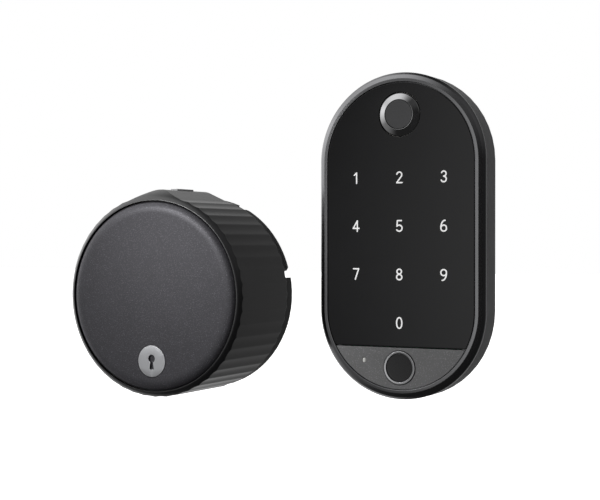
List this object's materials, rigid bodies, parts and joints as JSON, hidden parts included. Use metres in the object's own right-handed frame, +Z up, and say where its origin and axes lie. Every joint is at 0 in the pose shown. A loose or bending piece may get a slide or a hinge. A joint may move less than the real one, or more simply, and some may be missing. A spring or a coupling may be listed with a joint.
{
  "type": "keypad smart lock",
  "caption": "Round fluted motor lock with a crest and a flat face cover, beside a stadium-shaped touch keypad with a glass front, a push button and a fingerprint reader.",
  "frame": {"origin": "on the round lock's turning axis, in the plane of the door's face", "axes": "+X to the right seen from the room, +Y into the door, +Z up; both fronts face -Y"},
  "size_m": [0.1495, 0.058, 0.1119],
  "materials": {
    "black_coat": "fine satin black coating",
    "dark_plastic": "matt black moulding",
    "grey_plastic": "matt dark grey moulding",
    "steel": "bright steel",
    "spring_steel": "plated spring strip",
    "brass": "turned brass",
    "gear_plastic": "natural acetal",
    "board": "solder-masked circuit board",
    "cell_grey": "sleeved cell",
    "cell_blue": "sleeved cell",
    "black_glass": "gloss black",
    "rubber": "matt black rubber"
  },
  "bodies": {
    "door_fixings": {"mounting_plate": "steel", "mounting_screw_left": "steel", "mounting_screw_right": "steel", "rear_chassis": "dark_plastic", "right_latch_pin": "steel", "left_latch_pin": "steel", "fixed_sun_gear": "brass", "bearing_ring": "gear_plastic", "wall_bracket": "dark_plastic", "bracket_screw_top": "steel", "bracket_screw_bottom": "steel"},
    "right_latch": {"right_wing_latch": "dark_plastic"},
    "left_latch": {"left_wing_latch": "dark_plastic"},
    "knob": {"outer_shell": "black_coat", "crest_insert": "grey_plastic", "inner_frame": "grey_plastic", "tailpiece_adapter": "steel", "frame_screw_upper": "steel", "frame_screw_lower": "steel", "motor": "steel", "final_gear_axle": "steel", "first_gear_axle": "steel", "lock_battery_left": "cell_grey", "lock_battery_right": "cell_grey", "lock_contact_upper": "spring_steel", "lock_contact_lower": "spring_steel", "lock_main_board": "board", "antenna_board": "board", "cover_magnet_upper": "steel", "cover_magnet_lower": "steel"},
    "final_gear": {"final_reduction_gear": "gear_plastic"},
    "first_gear": {"first_reduction_gear": "gear_plastic"},
    "motor_rotor": {"motor_pinion": "brass"},
    "cover": {"face_cover": "black_coat", "badge_inlay": "steel", "cover_steel_plate": "steel"},
    "keypad": {"rear_case": "grey_plastic", "security_screw": "steel", "battery_door": "dark_plastic", "keypad_battery_1": "cell_blue", "keypad_battery_2": "cell_blue", "keypad_battery_3": "cell_blue", "keypad_battery_4": "cell_blue", "keypad_contact_upper": "spring_steel", "keypad_contact_lower": "spring_steel", "keypad_board": "board", "buzzer": "dark_plastic", "case_seal": "rubber", "light_guide": "gear_plastic", "front_frame": "black_coat", "glass_panel": "black_glass", "lower_trim_panel": "grey_plastic", "status_light": "gear_plastic", "button_ring": "steel", "button_return_pad": "rubber", "button_switch": "steel", "fingerprint_ring": "steel", "fingerprint_sensor": "black_glass"},
    "push_button": {"button_cap": "grey_plastic"}
  },
  "joints": [
    {"name": "knob_turn", "type": "hinge", "parent": "door_fixings", "child": "knob", "pos_m": [0, 0, 0], "axis": [0, -1, 0], "range_deg": [-90, 90]},
    {"name": "final_gear_spin", "type": "hinge", "parent": "knob", "child": "final_gear", "pos_m": [0.00602, -0.009, 0.01439], "axis": [0, -1, 0], "range_deg": [-301, 301]},
    {"name": "first_gear_spin", "type": "hinge", "parent": "knob", "child": "first_gear", "pos_m": [0.01762, -0.011, 0.00946], "axis": [0, -1, 0], "range_deg": [-751, 751]},
    {"name": "motor_spin", "type": "hinge", "parent": "knob", "child": "motor_rotor", "pos_m": [0.025, -0.0125, 0], "axis": [0, -1, 0], "range_deg": [-2252, 2252]},
    {"name": "face_cover_pull", "type": "slide", "parent": "knob", "child": "cover", "axis": [0, -1, 0], "range_m": [0, 0.012]},
    {"name": "right_latch_swing", "type": "hinge", "parent": "door_fixings", "child": "right_latch", "pos_m": [0.01588, -0.002, 0.02807], "axis": [0, -1, 0], "range_deg": [0, 45]},
    {"name": "left_latch_swing", "type": "hinge", "parent": "door_fixings", "child": "left_latch", "pos_m": [-0.01588, -0.002, 0.02807], "axis": [0, 1, 0], "range_deg": [0, 45]},
    {"name": "keypad_lift", "type": "slide", "parent": "door_fixings", "child": "keypad", "axis": [0, 0, 1], "range_m": [0, 0.0045]},
    {"name": "button_press", "type": "slide", "parent": "keypad", "child": "push_button", "axis": [0, 1, 0], "range_m": [0, 0.0005], "stiffness_N_per_m": 600, "springref_m": -0.0005}
  ],
  "couplings": [
    {"joint": "final_gear_spin", "follows": "knob_turn", "ratio": 3.3333},
    {"joint": "first_gear_spin", "follows": "knob_turn", "ratio": -8.3333},
    {"joint": "motor_spin", "follows": "knob_turn", "ratio": 25}
  ]
}
